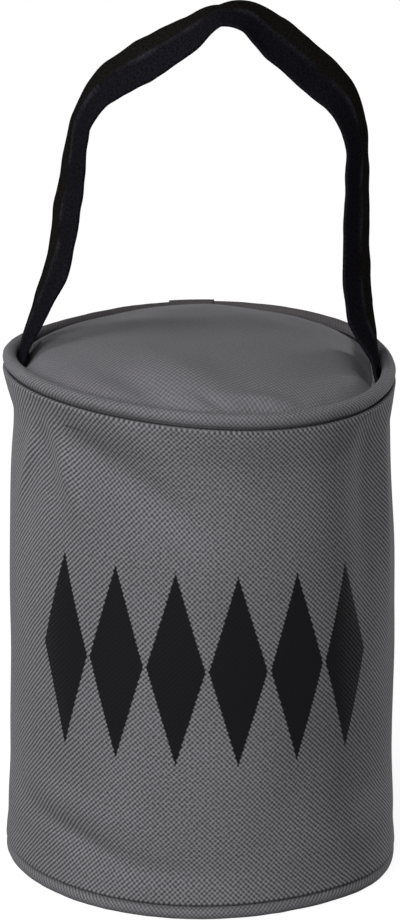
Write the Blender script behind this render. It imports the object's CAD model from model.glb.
import math

import bmesh
import bpy
from mathutils import Matrix, Vector, noise


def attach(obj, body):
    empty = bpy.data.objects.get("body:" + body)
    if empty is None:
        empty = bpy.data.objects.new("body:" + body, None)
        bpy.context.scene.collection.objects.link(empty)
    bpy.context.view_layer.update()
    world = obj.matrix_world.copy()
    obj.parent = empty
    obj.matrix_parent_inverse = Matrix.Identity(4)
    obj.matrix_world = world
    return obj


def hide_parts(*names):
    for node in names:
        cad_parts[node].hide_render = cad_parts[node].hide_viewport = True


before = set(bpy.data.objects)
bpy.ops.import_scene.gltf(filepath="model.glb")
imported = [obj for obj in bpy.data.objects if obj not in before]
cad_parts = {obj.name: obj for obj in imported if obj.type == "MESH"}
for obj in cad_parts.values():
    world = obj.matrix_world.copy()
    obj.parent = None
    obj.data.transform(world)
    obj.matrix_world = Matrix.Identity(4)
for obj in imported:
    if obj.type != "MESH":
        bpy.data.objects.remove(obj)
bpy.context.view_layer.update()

# The bag of sand that fills the cover and gives it its weight: a sewn sack of plain undyed cotton,
# sand below and fibre above, sealed in by the canvas round it. All pieces are drawn in millimetres as
# the straight cylinder that they were sewn as, and settle together into the leaning, dented body.
SEAM_R = 58.3  # radius of both piped seams
RIM_SEAM_Z = 159.3
FOOT_SEAM_Z = 4.5
ALLOWANCE = 8  # cloth turned in at a seam
CANVAS = 0.7  # thickness of the cloth
TURNED_R = 57.25  # outside of the edges that the top and the base turn in
WALL_R = 61.05
DOME_RISE = 13
DOME_EDGE = TURNED_R - CANVAS
FLOOR_CORNER = 5.6
BAG_SLACK = 0.9
BAG_COLUMNS = 96
TAIL_ROOM = 1.8
TAIL_HALF = 11.5  # the rim gives way this far to each side of a tail of the tape
TAIL_REACH = 15.2
SINK = 0.9
NECK_SINK = 1.6
NECK_Z = 140
NECK_HALF = 26
FOOT_HELD = 9  # the seams hold the wall out this far from them
RIM_HELD = 13
SPREAD_FROM = 18
SPREAD_TO = 36
RIM_LEAN = 2.2
RIM_TWIST = 1.2
SWAY = 0.7
DENTS = [  # angle from the front towards the right, height, depth, half width, half height
    (-14, 116, 0.8, 14, 20),
    (-62, 124, 0.6, 12, 22),
    (-34, 26, 0.9, 15, 18),
    (58, 112, 0.6, 12, 20),
    (152, 96, 1.0, 15, 24),
    (-128, 60, 0.8, 14, 20),
    (-86, 144, 0.8, 14, 9),
]
FOOT_SWELLS = [(60, 2.7, 22), (-45, -0.5, 24), (-92, 0.6, 18)]  # angle, out, half width in degrees
RIM_SWELLS = [(92, -0.5, 24)]
RIM_DROPS = [(-130, 1.2, 24)]
WALL_FOLDS = [  # millimetres round from the front, height, lift, half length, half width, turn
    (-30, 142, -2.0, 20, 6, -26),
    (-10, 131, -1.7, 12, 5, -43),
    (-12, 148, 0.9, 18, 5.5, -38),
    (-36, 139, -0.9, 20, 13, -20),
    (-47, 137, 1.9, 14, 3.4, -66),
    (-55, 133, -1.2, 18, 4, -72),
    (-69, 135, 1.3, 12, 2.6, 63),
    (-44, 21, -1.9, 22, 4, -12),
    (-12, 16, -0.6, 18, 3.5, 0),
    (-40, 31, 0.7, 20, 5, -8),
    (63, 130, -1.7, 32, 8, 88),
    (78, 126, 1.2, 26, 4, 90),
    (30, 38, -0.5, 24, 9, 60),
    (120, 120, -0.9, 20, 6, 70),
    (-120, 100, -0.8, 22, 7, -65),
    (140, 40, -0.8, 20, 6, 20),
]
TOP_FOLDS = [  # millimetres across and towards the back, lift, half length, half width, turn
    (-6, -34, 1.4, 20, 8, -50),
    (-16, -45, -1.8, 16, 4.5, -45),
    (-18, -50, -0.9, 17, 2.8, -20),
    (4, -50, -1.0, 6, 1.6, -30),
    (19, -46, 1.3, 9, 2.4, 8),
    (19, -51, -1.5, 9, 1.8, 8),
    (53, -3, -3.8, 13, 6.5, -84),
    (-54, 1, -3.2, 10, 4, 84),
    (0, 30, -0.9, 34, 18, 0),
    (3, 44, 0.6, 7, 12, 80),
    (28, 24, -0.5, 18, 6, -45),
    (-28, 20, -0.4, 18, 7, 40),
]


def folds_at(folds, across, up):
    """The sum of long soft folds at a place on flat cloth."""
    total = 0
    for x, y, lift, long, wide, turn in folds:
        along = Vector((math.cos(math.radians(turn)), math.sin(math.radians(turn))))
        away = Vector((across - x, up - y))
        total += lift * math.exp(-((away.dot(along) / long) ** 2) - (away.cross(along) / wide) ** 2)
    return total


def front_angle(co):
    """The angle round the body from the middle of the front towards its right."""
    return math.atan2(co.x, -co.y)


def push_out(co, distance):
    """Moves a place straight out from the body's axis."""
    radius = math.hypot(co.x, co.y)
    if radius > 0:
        co.x *= 1 + distance / radius
        co.y *= 1 + distance / radius


def clamp(value):
    """The value, held between nothing and one."""
    return min(1, max(0, value))


def ease(value, low, high):
    """Rises smoothly from nothing at low to one at high."""
    share = clamp((value - low) / (high - low))
    return share * share * (3 - 2 * share)


def round_sum(places, angle):
    """The sum of the swells or drops at an angle round the body."""
    total = 0
    for turn, amount, wide in places:
        away = angle - math.radians(turn)
        degrees = math.degrees(math.atan2(math.sin(away), math.cos(away)))
        total += amount * math.exp(-((degrees / wide) ** 2))
    return total


def sink(angle, height):
    """How far the wall lies inside the straight cylinder."""
    depth = SINK + NECK_SINK * math.exp(-(((height - NECK_Z) / NECK_HALF) ** 2))
    for turn, middle, deep, wide, high in DENTS:
        away = angle - math.radians(turn)
        across = math.atan2(math.sin(away), math.cos(away)) * WALL_R / wide
        depth += deep * math.exp(-(across**2) - ((height - middle) / high) ** 2)
    return depth * clamp((height - FOOT_SEAM_Z) / FOOT_HELD) * clamp((RIM_SEAM_Z - height) / RIM_HELD)


def settle(bm):
    """The foot spreads, the wall sinks in, the rim leans and twists, and the body sways."""
    for vert in bm.verts:
        co = vert.co
        angle = front_angle(co)
        height = min(1, co.z / RIM_SEAM_Z)
        inner = min(1, math.hypot(co.x, co.y) / SEAM_R)
        swell = (1 - ease(co.z, SPREAD_FROM, SPREAD_TO)) * round_sum(FOOT_SWELLS, angle)
        swell += ease(co.z, NECK_Z, RIM_SEAM_Z) * round_sum(RIM_SWELLS, angle)
        push_out(co, swell * inner - sink(angle, co.z))
        lean = RIM_LEAN * co.x / SEAM_R - RIM_TWIST * 2 * co.x * co.y / SEAM_R**2
        lean += inner**2 * round_sum(RIM_DROPS, angle)
        co.x += SWAY * math.sin(math.pi * height)
        co.z -= lean * height


def dome_height(radius):
    """The filled top: a flat crown that rounds down steeply to its seam."""
    share = min(1, radius / DOME_EDGE) ** 2.5
    return RIM_SEAM_Z - CANVAS + DOME_RISE * (1 - share) ** 0.6


def dome_line(depth, shares):
    """Points from the crown out to the edge, this far below the top panel's outer face."""
    line = []
    for share in shares:
        radius = share * DOME_EDGE
        slope = (dome_height(radius + 0.01) - dome_height(max(0, radius - 0.01))) / 0.02
        length = math.hypot(slope, 1) if radius else 1
        inward = slope / length if radius else 0
        line.append((radius + depth * inward, dome_height(radius) - depth / length))
    return line


def by_tail(co):
    """One along the end of the tape that is caught in the rim, and nothing further round."""
    from_tail = abs(math.atan2(co.y, abs(co.x))) * TURNED_R
    return 1 - ease(from_tail, TAIL_HALF, TAIL_REACH)


def room_for_tails(bm):
    """The tape's two tails push the edge of the dome in."""
    for vert in bm.verts:
        co = vert.co
        near_edge = ease(math.hypot(co.x, co.y), TURNED_R * 0.8, TURNED_R * 0.96)
        near_rim = ease(co.z, RIM_SEAM_Z - 3 * ALLOWANCE, RIM_SEAM_Z - 1.5 * ALLOWANCE)
        push_out(co, -TAIL_ROOM * by_tail(co) * near_edge * near_rim)


def spun(section, around, closed=False):
    """A section of radius and height, turned about the body's axis from its back."""
    bm = bmesh.new()
    verts = [bm.verts.new((0, radius, height)) for radius, height in section]
    pairs = list(zip(verts, verts[1:]))
    if closed:
        pairs.append((verts[-1], verts[0]))
    edges = [bm.edges.new(pair) for pair in pairs]
    bmesh.ops.spin(bm, geom=verts + edges, axis=(0, 0, 1), angle=2 * math.pi, steps=around,
                   use_merge=True)
    bmesh.ops.remove_doubles(bm, verts=bm.verts, dist=1e-4)
    return bm


def finished(name, bm, material, slot, *nodes):
    """Makes the piece in metres, in place of its CAD nodes, on the one body."""
    bmesh.ops.recalc_face_normals(bm, faces=bm.faces)
    bmesh.ops.scale(bm, vec=(0.001, 0.001, 0.001), verts=bm.verts)
    mesh = bpy.data.meshes.new(name)
    bm.to_mesh(mesh)
    bm.free()
    mesh.shade_smooth()
    mesh.materials.append(material)
    piece = bpy.data.objects.new(name, mesh)
    bpy.context.scene.collection.objects.link(piece)
    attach(piece, "root")
    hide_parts(*nodes)
    return piece


def linear(colour):
    """An sRGB hex colour as linear values."""
    shares = [int(colour[i : i + 2], 16) / 255 for i in (1, 3, 5)]
    return [s / 12.92 if s <= 0.04045 else ((s + 0.055) / 1.055) ** 2.4 for s in shares] + [1]


def add(tree, kind, inputs=(), **settings):
    """Adds a node with its settings, and its inputs as values or as links."""
    made = tree.nodes.new(kind)
    for name, value in settings.items():
        setattr(made, name, value)
    for socket, value in dict(inputs).items():
        if isinstance(value, bpy.types.NodeSocket):
            tree.links.new(value, made.inputs[socket])
        else:
            made.inputs[socket].default_value = value
    return made


# Plain cotton sacking, undyed: matt and pale, with slubs in the yarn and an open weave.
sacking = bpy.data.materials.new("plain_cotton_sacking")
sacking.use_nodes = True
tree = sacking.node_tree
tree.nodes.clear()
place = add(tree, "ShaderNodeTexCoord")
slubs = add(tree, "ShaderNodeTexNoise", {"Vector": place.outputs["Object"], "Scale": 900, "Detail": 3})
threads = add(tree, "ShaderNodeTexVoronoi", {"Vector": place.outputs["Object"], "Scale": 800})
colour = add(tree, "ShaderNodeValToRGB", {"Fac": slubs.outputs["Fac"]})
colour.color_ramp.elements[0].color = linear("#a89c80")
colour.color_ramp.elements[1].color = linear("#d6ccb0")
bump = add(tree, "ShaderNodeBump", {"Height": threads.outputs["Distance"], "Strength": 0.5,
                                    "Distance": 0.0004})
shader = add(tree, "ShaderNodeBsdfPrincipled", {
    "Base Color": colour.outputs["Color"], "Roughness": 0.95, "Normal": bump.outputs["Normal"]})
add(tree, "ShaderNodeOutputMaterial", {"Surface": shader.outputs["BSDF"]})

in_hems = TURNED_R - CANVAS - BAG_SLACK
on_wall = WALL_R - CANVAS - BAG_SLACK
BAG_FLOOR = 1
FOOT_SHOULDER = 17.5
RIM_SHOULDER = 146.5
BAG_ROWS = 30
bulk = RIM_SHOULDER - FOOT_SHOULDER
section = [(0, BAG_FLOOR), (in_hems - FLOOR_CORNER, BAG_FLOOR), (in_hems - 1.6, 2.6)]
section += [(in_hems, BAG_FLOOR + FLOOR_CORNER), (in_hems, 12.8), (in_hems + 2.6, 15)]
section += [(on_wall, FOOT_SHOULDER + bulk * row / BAG_ROWS) for row in range(BAG_ROWS + 1)]
section += [(in_hems + 2.6, 149), (in_hems, 151)]
shares = [math.sin(math.pi / 2 * step / 16) for step in range(16)]
section += dome_line(CANVAS + BAG_SLACK, shares)[::-1]
bm = spun(section, BAG_COLUMNS)
for vert in bm.verts:
    from_seam = abs(math.atan2(vert.co.x, vert.co.y)) * WALL_R
    in_bulk = ease(math.hypot(vert.co.x, vert.co.y), in_hems, on_wall)
    push_out(vert.co, (ease(from_seam, 9, 13) - 1) * in_bulk)  # clear of the back seam's flaps
    if vert.co.z < RIM_SEAM_Z - ALLOWANCE:
        pressed = folds_at(WALL_FOLDS, front_angle(vert.co) * WALL_R, vert.co.z)
        push_out(vert.co, min(0, pressed) * in_bulk)
    else:
        vert.co.z += min(0, folds_at(TOP_FOLDS, vert.co.x, vert.co.y) - 0.3)
room_for_tails(bm)
settle(bm)
bag = finished("sack_of_sand", bm, sacking, "sand_bag", "sand_bag")


# The base panel is a round of grey canvas, flat where it stands. Its edge turns up inside the piping
# and the wall, and is sewn there. The other panels and the piping are cut from the same cloth.
THREAD = 0.82  # from one thread to the next
SEAM_DIRT = 0.25  # what is left of the cloth's brightness in a seam


# Grey canvas: a plain weave of coarse spun polyester, light warp over darker weft. Its floats lean
# against each other, so from a step away they join into fine diagonal ridges with dark pits between.
def canvas(name, ridge, light, dark, contrast, seam=None, mark=None):
    """Grey canvas whose diagonal ridges lie this many millimetres apart.

    The seam is a place along the cloth, and how far from it the dirt of the seams on either side
    begins and is thickest. The mark is a function that draws on the cloth.
    """
    material = bpy.data.materials.new(name)
    material.use_nodes = True
    tree = material.node_tree
    tree.nodes.clear()
    flat = add(tree, "ShaderNodeUVMap", uv_map="cloth")
    place = add(tree, "ShaderNodeTexCoord")
    # the yarn wanders a little
    wander = add(tree, "ShaderNodeTexNoise", {"Vector": flat.outputs["UV"], "Scale": 0.06, "Detail": 1})
    shift = add(tree, "ShaderNodeVectorMath", {0: wander.outputs["Color"], 1: (0.9, 0.9, 0)},
                operation="MULTIPLY")
    laid = add(tree, "ShaderNodeVectorMath", {0: flat.outputs["UV"], 1: shift.outputs["Vector"]},
               operation="ADD")
    turn = 2 * math.pi / ridge
    turned = add(tree, "ShaderNodeMapping", {
        "Vector": laid.outputs["Vector"], "Rotation": (0, 0, math.pi / 4)})
    part = add(tree, "ShaderNodeSeparateXYZ", {"Vector": turned.outputs["Vector"]})
    waves = []
    for axis in "XY":
        phase = add(tree, "ShaderNodeMath", {0: part.outputs[axis], 1: turn}, operation="MULTIPLY")
        wave = add(tree, "ShaderNodeMath", {0: phase.outputs["Value"]}, operation="COSINE")
        waves.append(wave.outputs["Value"])
    # which diagonal stands out changes from the left of the body to the right
    spot = add(tree, "ShaderNodeSeparateXYZ", {"Vector": place.outputs["Object"]})
    side = add(tree, "ShaderNodeMapRange", {
        "Value": spot.outputs["X"], "From Min": -0.05, "From Max": 0.05, "To Min": 0.2, "To Max": 0.8})
    ridges = add(tree, "ShaderNodeMix", {
        0: side.outputs["Result"], 2: waves[0], 3: waves[1]}, data_type="FLOAT")
    fuzz = add(tree, "ShaderNodeTexNoise", {"Vector": flat.outputs["UV"], "Scale": 1.1, "Detail": 3})
    rough = add(tree, "ShaderNodeMapRange", {
        "Value": fuzz.outputs["Fac"], "From Min": 0.3, "From Max": 0.7, "To Min": -0.35, "To Max": 0.35})
    height = add(tree, "ShaderNodeMath", {
        0: ridges.outputs["Result"], 1: rough.outputs["Result"]}, operation="ADD")
    lift = add(tree, "ShaderNodeMapRange", {
        "Value": height.outputs["Value"], "From Min": -0.95, "From Max": 0.95},
               interpolation_type="SMOOTHSTEP")
    cloth = add(tree, "ShaderNodeMix", {
        0: lift.outputs["Result"], 6: linear(dark), 7: linear(light)}, data_type="RGBA")
    shade = cloth.outputs[2]
    # soft uneven tone from handling and dust
    tone = add(tree, "ShaderNodeTexNoise", {"Vector": place.outputs["Object"], "Scale": 26, "Detail": 3})
    dust = add(tree, "ShaderNodeMapRange", {
        "Value": tone.outputs["Fac"], "From Min": 0.35, "From Max": 0.65, "To Min": 0.94, "To Max": 1.06})
    shade = add(tree, "ShaderNodeVectorMath", {0: shade, 3: dust.outputs["Result"]},
                operation="SCALE").outputs["Vector"]
    if mark:
        shade = mark(tree, flat, height, shade)
    if seam:
        middle, begins, thickest = seam
        up = add(tree, "ShaderNodeSeparateXYZ", {"Vector": flat.outputs["UV"]})
        away = add(tree, "ShaderNodeMath", {0: up.outputs["Y"], 1: middle}, operation="SUBTRACT")
        far = add(tree, "ShaderNodeMath", {0: away.outputs["Value"]}, operation="ABSOLUTE")
        clean = add(tree, "ShaderNodeMapRange", {
            "Value": far.outputs["Value"], "From Min": begins, "From Max": thickest, "To Min": 1,
            "To Max": SEAM_DIRT})
        shade = add(tree, "ShaderNodeVectorMath", {0: shade, 3: clean.outputs["Result"]},
                    operation="SCALE").outputs["Vector"]
    bump = add(tree, "ShaderNodeBump", {
        "Height": height.outputs["Value"], "Strength": contrast, "Distance": 0.00012})
    shader = add(tree, "ShaderNodeBsdfPrincipled", {
        "Base Color": shade, "Roughness": 0.9, "Sheen Weight": 0.05, "Sheen Roughness": 0.4,
        "Specular IOR Level": 0.12, "Normal": bump.outputs["Normal"]})
    add(tree, "ShaderNodeOutputMaterial", {"Surface": shader.outputs["BSDF"]})
    return material


def arc(radius, height, size, start, end, steps):
    """Points of an arc in the section, its angles in degrees from straight out."""
    turns = [math.radians(start + (end - start) * step / steps) for step in range(steps + 1)]
    return [(radius + size * math.cos(t), height + size * math.sin(t)) for t in turns]


def lay_flat(bm, section):
    """Lays a panel's threads straight across it, in millimetres along the cloth from its middle."""
    lengths = [0]
    for before, after in zip(section, section[1:]):
        lengths.append(lengths[-1] + math.dist(before, after))
    nearest = {}
    stretch = {}
    for vert in bm.verts:
        radius = math.hypot(vert.co.x, vert.co.y)
        place = round(radius, 1), round(vert.co.z, 1)
        if place not in nearest:
            nearest[place] = min(range(len(section)), key=lambda i: math.dist(section[i], place))
        stretch[vert] = lengths[nearest[place]] / radius if radius > 0.01 else 1
    cloth = bm.loops.layers.uv.new("cloth")
    for face in bm.faces:
        for loop in face.loops:
            loop[cloth].uv = loop.vert.co.xy * stretch[loop.vert]


def thicken(piece, thickness):
    """Gives a sheet its thickness, half to each side."""
    wall = piece.modifiers.new("cloth", "SOLIDIFY")
    wall.thickness = thickness / 1000
    wall.offset = 0
    wall.use_even_offset = True


PANEL_COLUMNS = 192
RIDGE = 2 * THREAD / math.sqrt(2)  # two threads, measured along the diagonal
# Seen from above its pits hardly show, and the cloth looks an even, slightly bluish grey.
top_canvas = canvas("grey_canvas", RIDGE, light="#7a797d", dark="#5d5c60", contrast=0.35)
mid = CANVAS / 2
floor_edge = DOME_EDGE - FLOOR_CORNER
section = [(floor_edge * math.sqrt(step / 12), mid) for step in range(13)]
section += arc(floor_edge, FLOOR_CORNER, FLOOR_CORNER - mid, -90, -22.5, 8)[1:]
section += [(TURNED_R - mid, FOOT_SEAM_Z + CANVAS + 0.8 * step) for step in range(11)]
bm = spun(section, PANEL_COLUMNS)
lay_flat(bm, section)
settle(bm)
base = finished("base_round", bm, top_canvas, "canvas", "base_panel")
thicken(base, CANVAS)


# The two beads: a bias strip of the same canvas folded round a cotton cord and sewn in between the
# panels. Its ends lap at the back of the rim, where a folded end lies over the other.
BEAD_Z = RIM_SEAM_Z + 2
BEAD_MID = SEAM_R + 0.3
BEAD_COLUMNS = 240
STRIP = 0.6  # thickness of the strip, pulled thin round the cord
LAY = 1.9  # radius of the middle of the strip's cloth round the cord
BIAS = 1.15  # how much the strip's threads are spread
FLANGE_HALF = 0.45
LAP_BEGINS = -0.075  # angle from the middle of the back
LAP_ANGLE = 0.24
opening = math.degrees(math.acos(0.15 / LAY))
flange = [(SEAM_R + FLANGE_HALF, RIM_SEAM_Z - ALLOWANCE + 1.5 * step) for step in range(5)]
flange_back = [(SEAM_R - FLANGE_HALF, height) for radius, height in reversed(flange)]
bead_section = flange + arc(BEAD_MID, BEAD_Z, LAY, -opening, 180 + opening + 22, 22) + flange_back


def at_foot(section):
    """The same section on the lower seam."""
    return [(radius, RIM_SEAM_Z + FOOT_SEAM_Z - height) for radius, height in section]


def lay_round(bm, radius, lengths):
    """Gives each corner its place on the flat cloth, in millimetres round and along the section."""
    cloth = bm.loops.layers.uv.new("cloth")
    for face in bm.faces:
        middle = front_angle(face.calc_center_median())
        for loop in face.loops:
            angle = front_angle(loop.vert.co)
            angle += 2 * math.pi * round((middle - angle) / (2 * math.pi))
            loop[cloth].uv = (angle * radius, lengths(loop.vert.co))


def round_the_bead(co):
    """How far along the strip a place lies, in millimetres from the outer face's middle."""
    radius = math.hypot(co.x, co.y)
    return LAY * math.atan2(co.z - BEAD_Z, radius - BEAD_MID)


def round_the_foot_bead(co):
    """The same for the lower bead, whose seam is above it."""
    radius = math.hypot(co.x, co.y)
    return LAY * math.atan2(RIM_SEAM_Z + FOOT_SEAM_Z - BEAD_Z - co.z, radius - BEAD_MID)


def ripple(bm, seed):
    """The strip is pulled a little unevenly round the cord."""
    for vert in bm.verts:
        angle = front_angle(vert.co)
        spot = Vector((math.cos(angle) * 9, math.sin(angle) * 9, seed + vert.co.z * 0.3))
        push_out(vert.co, 0.16 * noise.noise(spot))
        vert.co.z += 0.1 * noise.noise(spot * 1.7)


def dull_back(tree, flat, height, shade):
    """The inner side of the bead is duller and browner at the back, with less weave to be seen."""
    place = add(tree, "ShaderNodeTexCoord")
    spot = add(tree, "ShaderNodeSeparateXYZ", {"Vector": place.outputs["Object"]})
    behind = add(tree, "ShaderNodeMapRange", {
        "Value": spot.outputs["Y"], "From Min": 0, "From Max": 0.045, "To Max": 0.85})
    up = add(tree, "ShaderNodeSeparateXYZ", {"Vector": flat.outputs["UV"]})
    inner = add(tree, "ShaderNodeMapRange", {"Value": up.outputs["Y"], "From Min": 1.2, "From Max": 2.4})
    share = add(tree, "ShaderNodeMath", {0: behind.outputs["Result"], 1: inner.outputs["Result"]},
                operation="MULTIPLY")
    dulled = add(tree, "ShaderNodeMix", {
        0: share.outputs["Value"], 6: shade, 7: linear("#4b4748")}, data_type="RGBA")
    return dulled.outputs[2]


# The canvas on the bias: its ridges run along the bead, and its groove holds the seam's dirt.
piping_canvas = canvas("grey_canvas_on_the_bias", THREAD * BIAS, light="#7c7b7f", dark="#525155",
                       contrast=0.3, seam=(20, 22.4, 22.9), mark=dull_back)

bm = spun(bead_section, BEAD_COLUMNS)
lay_round(bm, SEAM_R, round_the_bead)
for vert in bm.verts:  # the strip's end under the lap swells it
    if vert.co.y > 0 and vert.co.z > BEAD_Z - 1:
        across = (vert.co.x + 3) / 7
        push_out(vert.co, 0.2 * math.exp(-(across**2)))
ripple(bm, 3)
lap_section = arc(BEAD_MID, BEAD_Z, LAY + STRIP * 0.9, -38, 218, 20)
lap = bmesh.new()
verts = [lap.verts.new((0, radius, height)) for radius, height in lap_section]
edges = [lap.edges.new(pair) for pair in zip(verts, verts[1:])]
bmesh.ops.rotate(lap, verts=lap.verts, matrix=Matrix.Rotation(LAP_BEGINS, 3, "Z"))
bmesh.ops.spin(lap, geom=lap.verts[:] + lap.edges[:], axis=(0, 0, 1), angle=LAP_ANGLE, steps=14)
lay_round(lap, SEAM_R, round_the_bead)
lap_mesh = bpy.data.meshes.new("lap")
lap.to_mesh(lap_mesh)
lap.free()
bm.from_mesh(lap_mesh)
bpy.data.meshes.remove(lap_mesh)
settle(bm)
rim_bead = finished("rim_bead", bm, piping_canvas, "piping", "top_piping")
thicken(rim_bead, STRIP)

bm = spun(at_foot(bead_section), BEAD_COLUMNS)
lay_round(bm, SEAM_R, round_the_foot_bead)
ripple(bm, 11)
settle(bm)
foot_bead = finished("foot_bead", bm, piping_canvas, "piping", "base_piping")
thicken(foot_bead, STRIP)


# The cords in the two beads: undyed cotton, three strands twisted together, closed in by the strip.
# The cotton is pale and fibrous, and its strands show as slanting ridges.
cord_material = bpy.data.materials.new("twisted_cotton_cord")
cord_material.use_nodes = True
tree = cord_material.node_tree
tree.nodes.clear()
place = add(tree, "ShaderNodeTexCoord")
fibres = add(tree, "ShaderNodeTexNoise", {"Vector": place.outputs["Object"], "Scale": 1500, "Detail": 4})
colour = add(tree, "ShaderNodeValToRGB", {"Fac": fibres.outputs["Fac"]})
colour.color_ramp.elements[0].color = linear("#b8b3a4")
colour.color_ramp.elements[1].color = linear("#ece7d8")
bump = add(tree, "ShaderNodeBump", {"Height": fibres.outputs["Fac"], "Strength": 0.4,
                                    "Distance": 0.0002})
shader = add(tree, "ShaderNodeBsdfPrincipled", {
    "Base Color": colour.outputs["Color"], "Roughness": 0.9, "Normal": bump.outputs["Normal"]})
add(tree, "ShaderNodeOutputMaterial", {"Surface": shader.outputs["BSDF"]})

CORD_R = 1.2
STRAND = 0.12  # depth of the hollows between the strands
CORD_TURNS = 40
for name, node, middle in (
    ("rim_cord", "top_piping_cord", BEAD_Z),
    ("foot_cord", "base_piping_cord", RIM_SEAM_Z + FOOT_SEAM_Z - BEAD_Z),
):
    bm = spun(arc(BEAD_MID, middle, CORD_R, 0, 360, 18)[:-1], BEAD_COLUMNS, closed=True)
    for vert in bm.verts:
        radius = math.hypot(vert.co.x, vert.co.y)
        around = math.atan2(vert.co.z - middle, radius - BEAD_MID)
        turned = around - CORD_TURNS * front_angle(vert.co)
        hollow = STRAND * (abs(math.cos(1.5 * turned)) - 1)
        push_out(vert.co, hollow * math.cos(around))
        vert.co.z += hollow * math.sin(around)
    settle(bm)
    finished(name, bm, cord_material, "piping_cord", node)


# The top panel is a round of the canvas that the filling puffs up. Its edge turns down inside the rim
# and is gathered a little by the seam, with a hollow beside each end of the tape.
TOP_ROWS = 60
GATHER = 0.5
TOP_SLACK = 0.35
HEM_OUT = 0.9  # how far the hem reaches past the dome's edge under a tail
HEM_DOWN = 1.4
shares = [math.sin(math.pi / 2 * step / TOP_ROWS) for step in range(TOP_ROWS)]
section = dome_line(mid, shares)
section += [(TURNED_R - mid - 0.25, RIM_SEAM_Z - 1.1), (TURNED_R - mid, RIM_SEAM_Z - 2.1)]
section += [(TURNED_R - mid, RIM_SEAM_Z - 3 - step) for step in range(6)]
bm = spun(section, PANEL_COLUMNS)
lay_flat(bm, section)
room_for_tails(bm)
hem_end = RIM_SEAM_Z - ALLOWANCE
for vert in bm.verts:
    co = vert.co
    radius = math.hypot(co.x, co.y)
    if co.z < hem_end + 0.5:  # the hem folds out under the tape's tails and closes the seam there
        push_out(co, (TAIL_ROOM + HEM_OUT) * by_tail(co))
        co.z -= HEM_DOWN * by_tail(co)
    elif co.z < hem_end + 1.5:
        co.z -= by_tail(co)
    if co.z < RIM_SEAM_Z - 0.5:
        continue
    inside = 1 - ease(radius, DOME_EDGE - 2.5, DOME_EDGE)
    angle = front_angle(co)
    gather = noise.noise(Vector((math.cos(angle) * 11, math.sin(angle) * 11, 5)))
    lift = folds_at(TOP_FOLDS, co.x, co.y)
    lift -= GATHER * max(0, gather + 0.1) * ease(radius, DOME_EDGE - 14, DOME_EDGE - 3)
    lift -= TOP_SLACK * noise.noise(Vector((co.x / 17, co.y / 17, 2)))
    co.z += lift * inside
settle(bm)
top = finished("top_round", bm, top_canvas, "canvas", "top_panel")
thicken(top, CANVAS)


# The wall is one rectangle of the canvas, its ends sewn together at the back and its long edges turned
# in at both seams. The front carries a printed frieze in flat black ink.
INK = "#161518"
LOZENGES = 6
LOZENGE_PITCH = 19.5
LOZENGE_HALF_WIDTH = 9.2
LOZENGE_HALF_HEIGHT = 30.5
FRIEZE_U = 1.5  # the frieze's middle, round from the middle of the front
FRIEZE_Z = 81.5
FRIEZE_HALF = LOZENGES * LOZENGE_PITCH / 2


def frieze(tree, flat, height, shade):
    """Tall lozenges of flat ink, whose edges break on the threads."""
    part = add(tree, "ShaderNodeSeparateXYZ", {"Vector": flat.outputs["UV"]})
    half = LOZENGE_PITCH / 2
    from_one = add(tree, "ShaderNodeMath", {0: part.outputs["X"], 1: FRIEZE_U + half},
                   operation="SUBTRACT")
    across = add(tree, "ShaderNodeMath", {0: from_one.outputs["Value"], 1: half, 2: -half},
                 operation="WRAP")
    wide = add(tree, "ShaderNodeMath", {0: across.outputs["Value"]}, operation="ABSOLUTE")
    share = add(tree, "ShaderNodeMath", {0: wide.outputs["Value"], 1: LOZENGE_HALF_WIDTH},
                operation="DIVIDE")
    up = add(tree, "ShaderNodeMath", {0: part.outputs["Y"], 1: FRIEZE_Z}, operation="SUBTRACT")
    tall = add(tree, "ShaderNodeMath", {0: up.outputs["Value"]}, operation="ABSOLUTE")
    part_up = add(tree, "ShaderNodeMath", {0: tall.outputs["Value"], 1: LOZENGE_HALF_HEIGHT},
                  operation="DIVIDE")
    reach = add(tree, "ShaderNodeMath", {0: share.outputs["Value"], 1: part_up.outputs["Value"]},
                operation="ADD")
    broken = add(tree, "ShaderNodeMath", {
        0: height.outputs["Value"], 1: 0.02, 2: reach.outputs["Value"]}, operation="MULTIPLY_ADD")
    inked = add(tree, "ShaderNodeMapRange", {
        "Value": broken.outputs["Value"], "From Min": 1.03, "From Max": 0.99})
    off = add(tree, "ShaderNodeMath", {0: part.outputs["X"], 1: FRIEZE_U}, operation="SUBTRACT")
    far = add(tree, "ShaderNodeMath", {0: off.outputs["Value"]}, operation="ABSOLUTE")
    front = add(tree, "ShaderNodeMath", {0: far.outputs["Value"], 1: FRIEZE_HALF},
                operation="LESS_THAN")
    mask = add(tree, "ShaderNodeMath", {0: inked.outputs["Result"], 1: front.outputs["Value"]},
               operation="MULTIPLY")
    printed = add(tree, "ShaderNodeMix", {
        0: mask.outputs["Value"], 6: shade, 7: linear(INK)}, data_type="RGBA")
    return printed.outputs[2]


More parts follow.
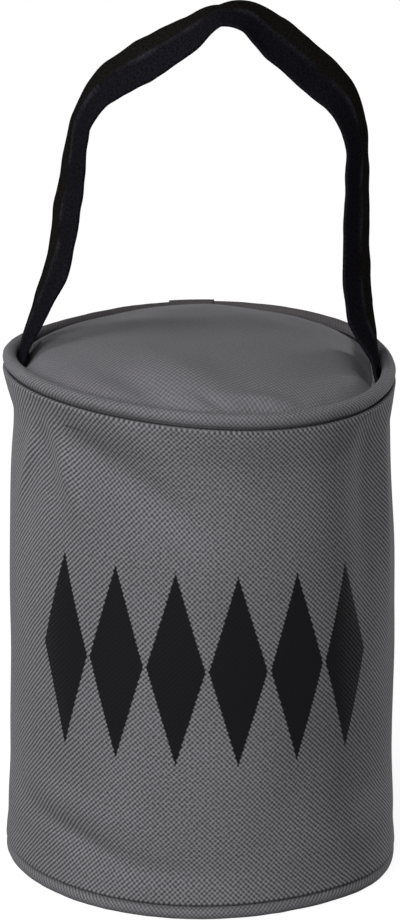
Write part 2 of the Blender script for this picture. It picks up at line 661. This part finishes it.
# The same canvas seen from the side, where its pits are darker and the ink lies flat in its weave.
wall_canvas = canvas("grey_canvas_with_print", RIDGE, light="#858488", dark="#403f43", contrast=0.42,
                     seam=(82.1, 76, 76.6), mark=frieze)
CLEAR = 0.3
WALL_COLUMNS = 336
WALL_ROWS = 84
SEAM_GROOVE = 0.9
GROOVE_HALF = 0.55
FLAP_LIFT = 0.3
PUCKER = 0.5
WALL_SLACK = 0.35
HELD = 5  # folds fade out over this distance from a seam
NEAR_SEAM = 0.12
CROWDING = 0.82
FOLD = 0.5
fold_r = WALL_R - mid - FOLD
fold_z = RIM_SEAM_Z - CANVAS - CLEAR / 2 - 0.7
hem = [(fold_r - FOLD, RIM_SEAM_Z - ALLOWANCE + 1.4 * step) for step in range(5)]
turned = hem + arc(fold_r, fold_z, FOLD, 180, 0, 8)
low = FOOT_SEAM_Z + 1.2
high = RIM_SEAM_Z - 1.2
between = [(WALL_R - mid, high + (low - high) * row / WALL_ROWS) for row in range(1, WALL_ROWS)]
section = turned + between + at_foot(turned)[::-1]
bm = spun(section, WALL_COLUMNS)
spread = math.pi / (math.pi - CROWDING * NEAR_SEAM)
for vert in bm.verts:  # the columns crowd towards the back seam
    co = vert.co
    radius = math.hypot(co.x, co.y)
    angle = math.atan2(co.x, co.y)
    pull = CROWDING * NEAR_SEAM * (1 - math.exp(-abs(angle) / NEAR_SEAM))
    angle = math.copysign((abs(angle) - pull) * spread, angle)
    co.x = radius * math.sin(angle)
    co.y = radius * math.cos(angle)
lay_round(bm, WALL_R, lambda co: co.z)
for vert in bm.verts:
    co = vert.co
    radius = math.hypot(co.x, co.y)
    if radius < WALL_R - mid - 0.01:
        continue
    clear_of_ends = ease(co.z - FOOT_SEAM_Z, 0, HELD) * ease(RIM_SEAM_Z - co.z, 0, HELD)
    from_seam = math.atan2(co.x, co.y) * radius
    groove = -SEAM_GROOVE * math.exp(-((from_seam / GROOVE_HALF) ** 2))
    lifted = FLAP_LIFT * (1 - ease(abs(from_seam), 6.5, 8.5))
    angle = front_angle(co)
    spot = Vector((math.cos(angle) * 10, math.sin(angle) * 10, co.z / 30))
    from_rim = math.exp(-(RIM_SEAM_Z - co.z) / 6)
    from_foot = math.exp(-(co.z - FOOT_SEAM_Z) / 6)
    pucker = PUCKER * noise.noise(spot) * (from_rim + from_foot)
    slack = WALL_SLACK * noise.noise(Vector((math.cos(angle) * 3, math.sin(angle) * 3, co.z / 28)))
    fold = folds_at(WALL_FOLDS, angle * WALL_R, co.z)
    push_out(co, (groove + lifted + slack + pucker + fold) * clear_of_ends)
settle(bm)
wall = finished("side_wall", bm, wall_canvas, "canvas", "side_panel")
thicken(wall, CANVAS)


# The handle is a length of soft black cloth tape, woven flat. Its tails are caught between the rim's
# bead and the top panel, and it stands in the bend that the last hand left in it.
# The cotton takes up nearly all the light, so its nap and its paler crease are all that show.
tape = bpy.data.materials.new("black_cloth_tape")
tape.use_nodes = True
tree = tape.node_tree
tree.nodes.clear()
flat = add(tree, "ShaderNodeUVMap", uv_map="cloth")
part = add(tree, "ShaderNodeSeparateXYZ", {"Vector": flat.outputs["UV"]})
waves = []
for axis, pitch in (("X", 0.55), ("Y", 0.45)):  # from one thread to the next
    phase = add(tree, "ShaderNodeMath", {0: part.outputs[axis], 1: 2 * math.pi / pitch},
                operation="MULTIPLY")
    waves.append(add(tree, "ShaderNodeMath", {0: phase.outputs["Value"]}, operation="SINE"))
weave = add(tree, "ShaderNodeMath", {0: waves[0].outputs["Value"], 1: waves[1].outputs["Value"]},
            operation="MULTIPLY")
fluff = add(tree, "ShaderNodeTexNoise", {"Vector": flat.outputs["UV"], "Scale": 1.3, "Detail": 3})
height = add(tree, "ShaderNodeMath", {0: fluff.outputs["Fac"], 1: 1.2, 2: weave.outputs["Value"]},
             operation="MULTIPLY_ADD")
# the front half has faded to a bluer black, and the crease along the middle is rubbed paler
half = add(tree, "ShaderNodeMapRange", {"Value": part.outputs["X"], "From Min": -1.5, "From Max": 1.5})
dye = add(tree, "ShaderNodeMix", {
    0: half.outputs["Result"], 6: linear("#17171c"), 7: linear("#1a1917")}, data_type="RGBA")
off_crease = add(tree, "ShaderNodeMath", {0: part.outputs["X"]}, operation="ABSOLUTE")
rubbed = add(tree, "ShaderNodeMapRange", {
    "Value": off_crease.outputs["Value"], "From Min": 0.2, "From Max": 1.8, "To Min": 0.8,
    "To Max": 0})
patches = add(tree, "ShaderNodeTexNoise", {"Vector": flat.outputs["UV"], "Scale": 0.08, "Detail": 2})
where = add(tree, "ShaderNodeMapRange", {
    "Value": patches.outputs["Fac"], "From Min": 0.4, "From Max": 0.6})
wear = add(tree, "ShaderNodeMath", {0: rubbed.outputs["Result"], 1: where.outputs["Result"]},
           operation="MULTIPLY")
creased = add(tree, "ShaderNodeMix", {
    0: wear.outputs["Value"], 6: dye.outputs[2], 7: linear("#2e2d34")}, data_type="RGBA")
mottle = add(tree, "ShaderNodeMapRange", {
    "Value": fluff.outputs["Fac"], "From Min": 0.35, "From Max": 0.65, "To Min": 0.55, "To Max": 1.45})
shade = add(tree, "ShaderNodeVectorMath", {0: creased.outputs[2], 3: mottle.outputs["Result"]},
            operation="SCALE")
bump = add(tree, "ShaderNodeBump", {"Height": height.outputs["Value"], "Strength": 0.5,
                                    "Distance": 0.0001})
shader = add(tree, "ShaderNodeBsdfPrincipled", {
    "Base Color": shade.outputs["Vector"], "Roughness": 0.85, "Specular IOR Level": 0,
    "Normal": bump.outputs["Normal"]})
add(tree, "ShaderNodeOutputMaterial", {"Surface": shader.outputs["BSDF"]})

STRAP_WIDTH = 20
STRAP_THICK = 1.2
STRAP_BOW = 0.9
CREASE = 0.35
CREASE_HALF = 0.12
WAVE = 0.5
HANDLE_RISE = 113
STRAP_LINE = [  # share of the seam's radius, share of the rise, twist of the front edge inwards
    (-0.937, 0.05, 4),
    (-0.905, 0.095, 6),
    (-0.86, 0.152, 10),
    (-0.756, 0.291, 19),
    (-0.709, 0.437, 22),
    (-0.668, 0.571, 19),
    (-0.63, 0.685, 13),
    (-0.516, 0.778, 19),
    (-0.309, 0.855, 27),
    (-0.079, 0.931, 19),
    (0.099, 0.992, 3),
    (0.242, 0.992, 13),
    (0.4, 0.933, 28),
    (0.582, 0.856, 30),
    (0.746, 0.778, 25),
    (0.829, 0.682, 18),
    (0.84, 0.564, 21),
    (0.839, 0.427, 23),
    (0.842, 0.292, 24),
    (0.865, 0.178, 22),
    (0.937, 0.07, 5),
]
in_seam = TURNED_R - CLEAR / 2 - STRAP_THICK / 2
beside_bead = BEAD_MID - LAY - STRIP / 2 - 2 * CLEAR - STRAP_THICK / 2
left_tail = [
    (-in_seam, RIM_SEAM_Z - ALLOWANCE, 0),
    (-in_seam, RIM_SEAM_Z - ALLOWANCE / 3, 0),
    (-beside_bead, RIM_SEAM_Z + 2, 0),
]
loop = [(across * SEAM_R, RIM_SEAM_Z + up * HANDLE_RISE, twist) for across, up, twist in STRAP_LINE]
stations = left_tail + loop + [(-x, z, twist) for x, z, twist in reversed(left_tail)]
line = [Vector((x, 0, z)) for x, z, twist in stations]


def on_line(share):
    """The place and direction at a share of the tape's stations: a centripetal curve through them."""
    spot = share * (len(line) - 1)
    k = min(int(spot), len(line) - 2)
    t = spot - k
    p1, p2 = line[k], line[k + 1]
    p0 = line[k - 1] if k > 0 else 2 * p1 - p2
    p3 = line[k + 2] if k + 2 < len(line) else 2 * p2 - p1
    d0, d1, d2 = ((b - a).length ** 0.5 for a, b in ((p0, p1), (p1, p2), (p2, p3)))
    m1 = ((p1 - p0) / d0 - (p2 - p0) / (d0 + d1) + (p2 - p1) / d1) * d1
    m2 = ((p2 - p1) / d1 - (p3 - p1) / (d1 + d2) + (p3 - p2) / d2) * d1
    c2 = 3 * (p2 - p1) - 2 * m1 - m2
    c3 = 2 * (p1 - p2) + m1 + m2
    place = p1 + m1 * t + c2 * t * t + c3 * t**3
    tangent = (m1 + 2 * c2 * t + 3 * c3 * t * t).normalized()
    twist = stations[k][2] * (1 - t) + stations[k + 1][2] * t
    return place, tangent, math.radians(twist)


BACK = Vector((0, 1, 0))
STRAP_COLUMNS = 14
STRAP_ROWS = 400
samples = [on_line(step / STRAP_ROWS) for step in range(STRAP_ROWS + 1)]
travelled = [0]
for before, after in zip(samples, samples[1:]):
    travelled.append(travelled[-1] + (after[0] - before[0]).length)
bm = bmesh.new()
bmesh.ops.create_grid(bm, x_segments=STRAP_COLUMNS, y_segments=STRAP_ROWS, size=1)
cloth = bm.loops.layers.uv.new("cloth")
for face in bm.faces:
    for corner in face.loops:
        share = (corner.vert.co.y + 1) / 2
        corner[cloth].uv = (corner.vert.co.x * STRAP_WIDTH / 2, travelled[round(share * STRAP_ROWS)])
for vert in bm.verts:
    side = vert.co.x
    step = round((vert.co.y + 1) / 2 * STRAP_ROWS)
    place, tangent, twist = samples[step]
    outward = tangent.cross(BACK)
    width = BACK * math.cos(twist) + outward * math.sin(twist)
    out = outward * math.cos(twist) - BACK * math.sin(twist)
    far = travelled[step]
    free = ease(place.z, RIM_SEAM_Z + 4, RIM_SEAM_Z + 20)
    wave = WAVE * noise.noise(Vector((far / 9, side * 2, 4))) * free
    edge = WAVE * noise.noise(Vector((far / 6, side * 5, 9))) * free
    crease = CREASE * math.exp(-((side / CREASE_HALF) ** 2)) * free
    bow = -STRAP_BOW * abs(side) ** 1.5 + crease + wave
    vert.co = place + width * (side * (STRAP_WIDTH / 2 + edge * abs(side))) + out * bow
settle(bm)
handle = finished("handle_tape", bm, tape, "black_tape", "handle_strap")
thicken(handle, STRAP_THICK)
soften = handle.modifiers.new("edges", "BEVEL")
soften.width = 0.0003
soften.segments = 2
soften.limit_method = "ANGLE"


# A plain pale studio: one floor, a large soft key from the front left, a lamp above on the left, two
# small low lamps behind that edge the sides, and a surround that is white to the eye but gives little
# light. The camera looks down by 18 degrees from 1.6 metres.
bpy.ops.mesh.primitive_plane_add(size=40)
floor = bpy.context.object
floor.name = "studio_floor"
# White paper that looks evenly bright and still takes the object's shadow.
paper = bpy.data.materials.new("white_paper_floor")
paper.use_nodes = True
tree = paper.node_tree
tree.nodes.clear()
rays = add(tree, "ShaderNodeLightPath")
matt = add(tree, "ShaderNodeBsdfDiffuse", {"Color": linear("#808080")})
glow = add(tree, "ShaderNodeEmission", {
    "Color": linear("#f6f6f6"), "Strength": rays.outputs["Is Camera Ray"]})
both = add(tree, "ShaderNodeAddShader", {0: matt.outputs["BSDF"], 1: glow.outputs["Emission"]})
add(tree, "ShaderNodeOutputMaterial", {"Surface": both.outputs["Shader"]})
floor.data.materials.append(paper)

world = bpy.data.worlds.new("studio")
bpy.context.scene.world = world
world.use_nodes = True
tree = world.node_tree
tree.nodes.clear()
rays = add(tree, "ShaderNodeLightPath")
seen = rays.outputs["Is Camera Ray"]
for kind in ("Is Glossy Ray", "Is Transmission Ray"):
    either = add(tree, "ShaderNodeMath", {0: seen, 1: rays.outputs[kind]}, operation="MAXIMUM")
    seen = either.outputs["Value"]
level = add(tree, "ShaderNodeMapRange", {"Value": seen, "To Min": 0.03, "To Max": 1})
sky = add(tree, "ShaderNodeBackground", {"Strength": level.outputs["Result"]})
add(tree, "ShaderNodeOutputWorld", {"Surface": sky.outputs["Background"]})

LAMP_DISTANCE = 2
LAMP_TARGET = Vector((0, 0, 0.12))
for name, azimuth, elevation, size, power in (  # azimuth from the front towards the right
    ("key", -18, 24, 1.1, 37),
    ("overhead", -70, 58, 0.7, 12),
    ("left", -132, 0, 0.22, 11),
    ("right", 134, 0, 0.22, 24),
):
    turn, rise = math.radians(azimuth), math.radians(elevation)
    flat_way = Vector((math.sin(turn), -math.cos(turn), 0)) * math.cos(rise)
    spot = LAMP_DISTANCE * (flat_way + Vector((0, 0, math.sin(rise))))
    lamp = bpy.data.lights.new(name, "AREA")
    lamp.size = size
    lamp.energy = power
    light = bpy.data.objects.new(name, lamp)
    light.location = spot + LAMP_TARGET
    light.rotation_euler = (-spot).to_track_quat("-Z", "Y").to_euler()
    bpy.context.scene.collection.objects.link(light)

CAMERA_TILT = 18.08
lens = bpy.data.cameras.new("camera")
lens.lens = 201.2
lens.sensor_width = 36
lens.clip_start = 0.1
lens.clip_end = 100
camera = bpy.data.objects.new("camera", lens)
camera.location = (0, -1.521, 0.6254)
camera.rotation_euler = (math.radians(90 - CAMERA_TILT), 0, 0)
bpy.context.scene.collection.objects.link(camera)
bpy.context.scene.camera = camera
bpy.context.scene.view_settings.view_transform = "Standard"
